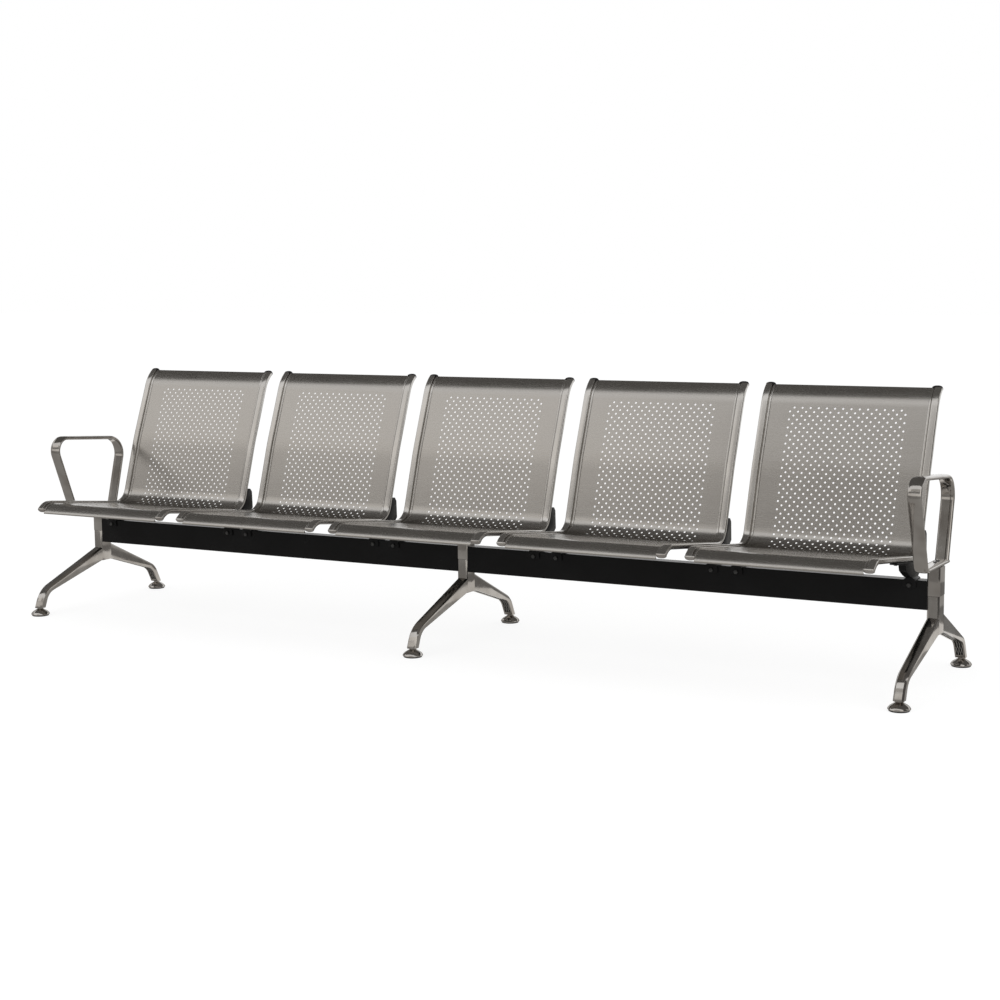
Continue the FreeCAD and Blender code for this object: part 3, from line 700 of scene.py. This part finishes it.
def polished_metal():
    """Polished arms, castings, feet and the rails' front caps: bright, with slight waves and fine wipe marks.
    """
    surface = Surface("polished_metal", (0.5, 0.47, 0.44), 1.0, 0.1)
    waves = surface.noise(14.0, 2.0)
    wipes = surface.noise(90.0, 5.0, (1.0, 0.35, 0.35), 0.6)
    surface.blend(waves, (0.38, 0.355, 0.33), (0.56, 0.54, 0.515))
    surface.rough(wipes, 0.07, 0.16)
    surface.bump(waves, 0.001, 0.2)
    surface.bump(wipes, 0.00001)
    return surface.material


def rail_metal():
    """Side rails: bright drawn metal with faint lines along the tube."""
    surface = Surface("rail_metal", (0.66, 0.64, 0.62), 1.0, 0.2)
    drawn = surface.noise(1.0, 4.0, (1500.0, 20.0, 20.0))
    tone = surface.noise(7.0, 3.0)
    surface.blend(tone, (0.52, 0.50, 0.475), (0.62, 0.60, 0.575))
    surface.rough(drawn, 0.14, 0.24)
    surface.bump(drawn, 0.00002)
    return surface.material


def black_paint():
    """Black powder coat with fine orange peel."""
    surface = Surface("black_paint", (0.006, 0.006, 0.0063), 0.0, 0.25)
    peel = surface.noise(420.0, 3.0)
    wear = surface.noise(9.0, 4.0)
    surface.blend(wear, (0.0135, 0.0135, 0.0138), (0.018, 0.018, 0.0185))
    surface.rough(wear, 0.2, 0.28)
    surface.bump(peel, 0.00006, 0.4)
    surface.shader.inputs["Specular IOR Level"].default_value = 0.15
    return surface.material


def black_plastic():
    """Moulded black plastic with a fine grain."""
    surface = Surface("black_plastic", (0.014, 0.014, 0.015), 0.0, 0.4)
    grain = surface.noise(900.0, 2.0)
    tone = surface.noise(30.0, 3.0)
    surface.blend(tone, (0.011, 0.011, 0.012), (0.019, 0.019, 0.02))
    surface.rough(tone, 0.34, 0.46)
    surface.bump(grain, 0.0001, 0.5)
    return surface.material


def knurled_strip():
    """Strip in the legs' channels: dark diamonds between worn bright ribs."""
    surface = Surface("knurled_strip", (0.02, 0.02, 0.02), 0.6, 0.4)
    split = surface.tree.nodes.new("ShaderNodeSeparateXYZ")
    surface.link(surface.coordinates, split.inputs["Vector"])
    x, y, z = split.outputs
    along = surface.math("ADD", z, surface.math("ABSOLUTE", y, 0.0))
    waves = []
    for slant in ("ADD", "SUBTRACT"):
        crossing = surface.math(slant, x, surface.math("MULTIPLY", along, RIB_SLANT))
        phase = surface.math("MULTIPLY", crossing, RIB_FREQUENCY)
        waves.append(surface.math("ABSOLUTE", surface.math("SINE", phase, 0.0), 0.0))
    ribs = surface.math("MINIMUM", waves[0], waves[1])
    surface.blend(ribs, (0.55, 0.53, 0.50), (0.012, 0.012, 0.012), 0.12, 0.34)
    surface.bump(ribs, 0.0006, 0.6)
    surface.rough(surface.noise(60.0, 3.0), 0.3, 0.45)
    return surface.material


def pad_rubber():
    """Dull black rubber."""
    surface = Surface("pad_rubber", (0.022, 0.022, 0.022), 0.0, 0.8)
    dust = surface.noise(120.0, 5.0)
    surface.blend(dust, (0.016, 0.016, 0.016), (0.035, 0.034, 0.033))
    surface.rough(dust, 0.7, 0.9)
    surface.bump(dust, 0.0002, 0.5)
    return surface.material


def bright_zinc():
    """Bright plated bolts and screws."""
    surface = Surface("bright_zinc", (0.6, 0.6, 0.6), 1.0, 0.25)
    stains = surface.noise(260.0, 4.0)
    surface.blend(stains, (0.26, 0.26, 0.265), (0.40, 0.40, 0.40))
    surface.rough(stains, 0.18, 0.34)
    surface.bump(stains, 0.00005)
    return surface.material


def dark_bolt():
    """Bracket bolts: darkened steel heads that hardly stand out on the beam."""
    surface = Surface("dark_bolt", (0.09, 0.09, 0.09), 1.0, 0.35)
    stains = surface.noise(260.0, 4.0)
    surface.blend(stains, (0.06, 0.06, 0.062), (0.12, 0.12, 0.12))
    surface.rough(stains, 0.3, 0.45)
    surface.bump(stains, 0.00005)
    return surface.material


SEATS = (1, 2, 3, 4, 5)
LEGS = ("left", "middle", "right")
FOOT_BOTTOM_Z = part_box("leg_casting_left")[0].z
materials = {
    "shell_steel": brushed_sheet(),
    "polished_metal": polished_metal(),
    "black_paint": black_paint(),
    "black_plastic": black_plastic(),
    "bright_zinc": bright_zinc(),
    "pad_rubber": pad_rubber(),
}


def finish_carried_nodes():
    """Puts the scene's materials on every node whose own shape stays."""
    slots = {part["node"]: part["material_slot"] for part in frame["record"]["subparts"]}
    strip = knurled_strip()
    for name, node in nodes.items():
        node.data.materials.clear()
        node.data.materials.append(strip if name.startswith("leg_infill") else materials[slots[name]])


def make_rounded_nodes():
    """Castings, clamps, brackets and bolts with rounded edges."""
    for name in LEGS:
        softened("leg_casting_" + name, "polished_metal", CASTING_EDGE, 3)
        softened("column_clamp_" + name, "polished_metal", CASTING_EDGE, 3)
    for number in SEATS:
        for hand in ("left", "right"):
            softened("seat_bracket_%s_%d" % (hand, number), "black_paint", BRACKET_EDGE)
    for name in ("clamp_bolts", "rail_screws", "armrest_screws"):
        softened(name, "bright_zinc", BOLT_EDGE)
    bolts = softened("bracket_bolts", "bright_zinc", BOLT_EDGE)
    bolts.data.materials[0] = dark_bolt()


# Studio

def emission(name, colour, strength):
    material = bpy.data.materials.new(name)
    material.use_nodes = True
    tree = material.node_tree
    tree.nodes.clear()
    output = tree.nodes.new("ShaderNodeOutputMaterial")
    glow = tree.nodes.new("ShaderNodeEmission")
    glow.inputs["Color"].default_value = (*colour, 1.0)
    glow.inputs["Strength"].default_value = strength
    tree.links.new(glow.outputs["Emission"], output.inputs["Surface"])
    return material


def seen_directly(tree):
    """1 for rays from the camera and from mirror-like and clear surfaces, otherwise 0."""
    path = tree.nodes.new("ShaderNodeLightPath")
    value = path.outputs["Is Camera Ray"]
    for ray in ("Is Glossy Ray", "Is Transmission Ray"):
        larger = tree.nodes.new("ShaderNodeMath")
        larger.operation = "MAXIMUM"
        tree.links.new(value, larger.inputs[0])
        tree.links.new(path.outputs[ray], larger.inputs[1])
        value = larger.outputs["Value"]
    return value


def make_floor():
    """Pale floor: white as seen, with a soft shadow of the bench."""
    half = FLOOR_HALF
    points = [(-half, -half, 0.0), (half, -half, 0.0), (half, half, 0.0), (-half, half, 0.0)]
    mesh = bpy.data.meshes.new("floor")
    mesh.from_pydata(points, [], [(0, 1, 2, 3)])
    floor = bpy.data.objects.new("floor", mesh)
    bpy.context.scene.collection.objects.link(floor)
    material = bpy.data.materials.new("floor")
    material.use_nodes = True
    tree = material.node_tree
    shader = tree.nodes["Principled BSDF"]
    shader.inputs["Roughness"].default_value = 0.9
    shader.inputs["Specular IOR Level"].default_value = 0.0
    shader.inputs["Base Color"].default_value = (FLOOR_GREY, FLOOR_GREY, FLOOR_GREY, 1.0)
    shader.inputs["Emission Color"].default_value = (1.0, 1.0, 1.0, 1.0)
    share = tree.nodes.new("ShaderNodeMath")
    share.operation = "MULTIPLY"
    share.inputs[1].default_value = FLOOR_GLOW
    tree.links.new(seen_directly(tree), share.inputs[0])
    tree.links.new(share.outputs["Value"], shader.inputs["Emission Strength"])
    mesh.materials.append(material)


def reflected_card(name, points, faces, grey):
    """A grey card that stands round the bench and is seen only in its polished surfaces."""
    mesh = bpy.data.meshes.new(name)
    mesh.from_pydata(points, [], faces)
    mesh.materials.append(emission(name, [grey * tint for tint in CARD_TINT], 1.0))
    card = bpy.data.objects.new(name, mesh)
    bpy.context.scene.collection.objects.link(card)
    card.visible_camera = False
    card.visible_diffuse = False
    card.visible_shadow = False
    card.visible_transmission = False


def arched_card(name, low_deg, high_deg, grey, from_x=-10.0, to_x=10.0):
    """A card on an arc about the bench, between two degrees that rise from the front over the top."""
    points, faces = [], []
    for k in range(ARCH_STEPS + 1):
        turn = low_deg + (high_deg - low_deg) * k / ARCH_STEPS
        for x in (from_x, to_x):
            points.append((x, -ARCH_RADIUS * cos(turn), ARCH_MIDDLE_Z + ARCH_RADIUS * sin(turn)))
    for k in range(ARCH_STEPS):
        faces.append((2 * k, 2 * k + 1, 2 * k + 3, 2 * k + 2))
    reflected_card(name, points, faces, grey)


def standing_card(name, start, end, height, grey):
    """An upright card on the floor between two (x, y) places."""
    points = [(*start, 0.0), (*end, 0.0), (*end, height), (*start, height)]
    reflected_card(name, points, [(0, 1, 2, 3)], grey)


def lying_card(name, from_y, to_y, grey):
    """A long card on the floor under the bench and round it."""
    z = FLOOR_CARD_Z
    points = [(-CARD_HALF, from_y, z), (CARD_HALF, from_y, z), (CARD_HALF, to_y, z), (-CARD_HALF, to_y, z)]
    reflected_card(name, points, [(0, 1, 2, 3)], grey)


def make_lamp(name, place_at, size, power):
    lamp = bpy.data.lights.new(name, "AREA")
    lamp.shape = "RECTANGLE"
    lamp.size, lamp.size_y = size
    lamp.energy = power
    holder = bpy.data.objects.new(name, lamp)
    bpy.context.scene.collection.objects.link(holder)
    holder.location = place_at
    aim = Vector(AIM) - Vector(place_at)
    holder.rotation_euler = aim.to_track_quat("-Z", "Y").to_euler()
    holder.visible_glossy = False


def make_world():
    world = bpy.data.worlds.new("studio")
    bpy.context.scene.world = world
    world.use_nodes = True
    tree = world.node_tree
    background = tree.nodes["Background"]
    background.inputs["Color"].default_value = (1.0, 1.0, 1.0, 1.0)
    level = tree.nodes.new("ShaderNodeMapRange")
    level.inputs["To Min"].default_value = 0.7
    level.inputs["To Max"].default_value = 1.0
    tree.links.new(seen_directly(tree), level.inputs["Value"])
    tree.links.new(level.outputs["Result"], background.inputs["Strength"])


def make_camera():
    """Camera at the photograph's place."""
    forward = Vector((-math.sin(CAMERA_YAW) * math.cos(CAMERA_PITCH),
                      math.cos(CAMERA_YAW) * math.cos(CAMERA_PITCH), -math.sin(CAMERA_PITCH)))
    level = Vector((math.cos(CAMERA_YAW), math.sin(CAMERA_YAW), 0.0))
    upright = level.cross(forward)
    right = level * math.cos(CAMERA_ROLL) + upright * math.sin(CAMERA_ROLL)
    up = upright * math.cos(CAMERA_ROLL) - level * math.sin(CAMERA_ROLL)
    turn = Matrix((right, up, -forward)).transposed().to_4x4()
    data = bpy.data.cameras.new("camera")
    data.sensor_width = CAMERA_SENSOR
    data.lens = CAMERA_LENS
    data.clip_end = 200.0
    camera = bpy.data.objects.new("camera", data)
    bpy.context.scene.collection.objects.link(camera)
    camera.matrix_world = Matrix.Translation(CAMERA_PLACE) @ turn
    bpy.context.scene.camera = camera


def make_studio():
    bpy.context.scene.view_settings.view_transform = "Standard"
    make_world()
    make_floor()
    arched_card("overhead_card", 64.0, 150.0, 0.13)
    arched_card("middle_card_right", 29.0, 42.0, 0.50, from_x=-2.2)
    arched_card("middle_card_left", 29.0, 42.0, 0.95, to_x=-2.2)
    arched_card("low_card", 15.0, 28.0, 0.27)
    standing_card("front_card", (-CARD_HALF, -1.7), (CARD_HALF, -1.7), 0.5, 0.26)
    standing_card("front_strip", (-CARD_HALF, -1.72), (CARD_HALF, -1.72), 0.9, 0.80)
    standing_card("edge_light_card", (2.6, -2.6), (3.6, -1.4), 2.2, 1.0)
    standing_card("edge_dark_card", (3.6, -1.4), (4.2, 0.4), 2.2, 0.10)
    standing_card("rear_card", (-CARD_HALF, 1.6), (CARD_HALF, 1.6), 0.5, 0.42)
    standing_card("left_card", (-4.5, -2.5), (-4.5, 2.5), 2.0, 0.40)
    standing_card("right_card", (4.5, -2.5), (4.5, 2.5), 2.0, 0.40)
    lying_card("floor_card", -1.7, 0.35, 0.36)
    lying_card("bright_floor_card", 0.35, 0.75, 0.80)
    lying_card("dark_floor_card", 0.75, 1.6, 0.20)
    make_lamp("key", (-1.5, -4.0, 4.2), (4.0, 1.0), 40.0)
    make_lamp("side", (4.5, -1.0, 2.6), (2.0, 2.0), 18.0)
    make_camera()


finish_carried_nodes()
make_sheets()
make_rails()
make_armrests()
make_levelling_feet()
make_rounded_nodes()
make_studio()
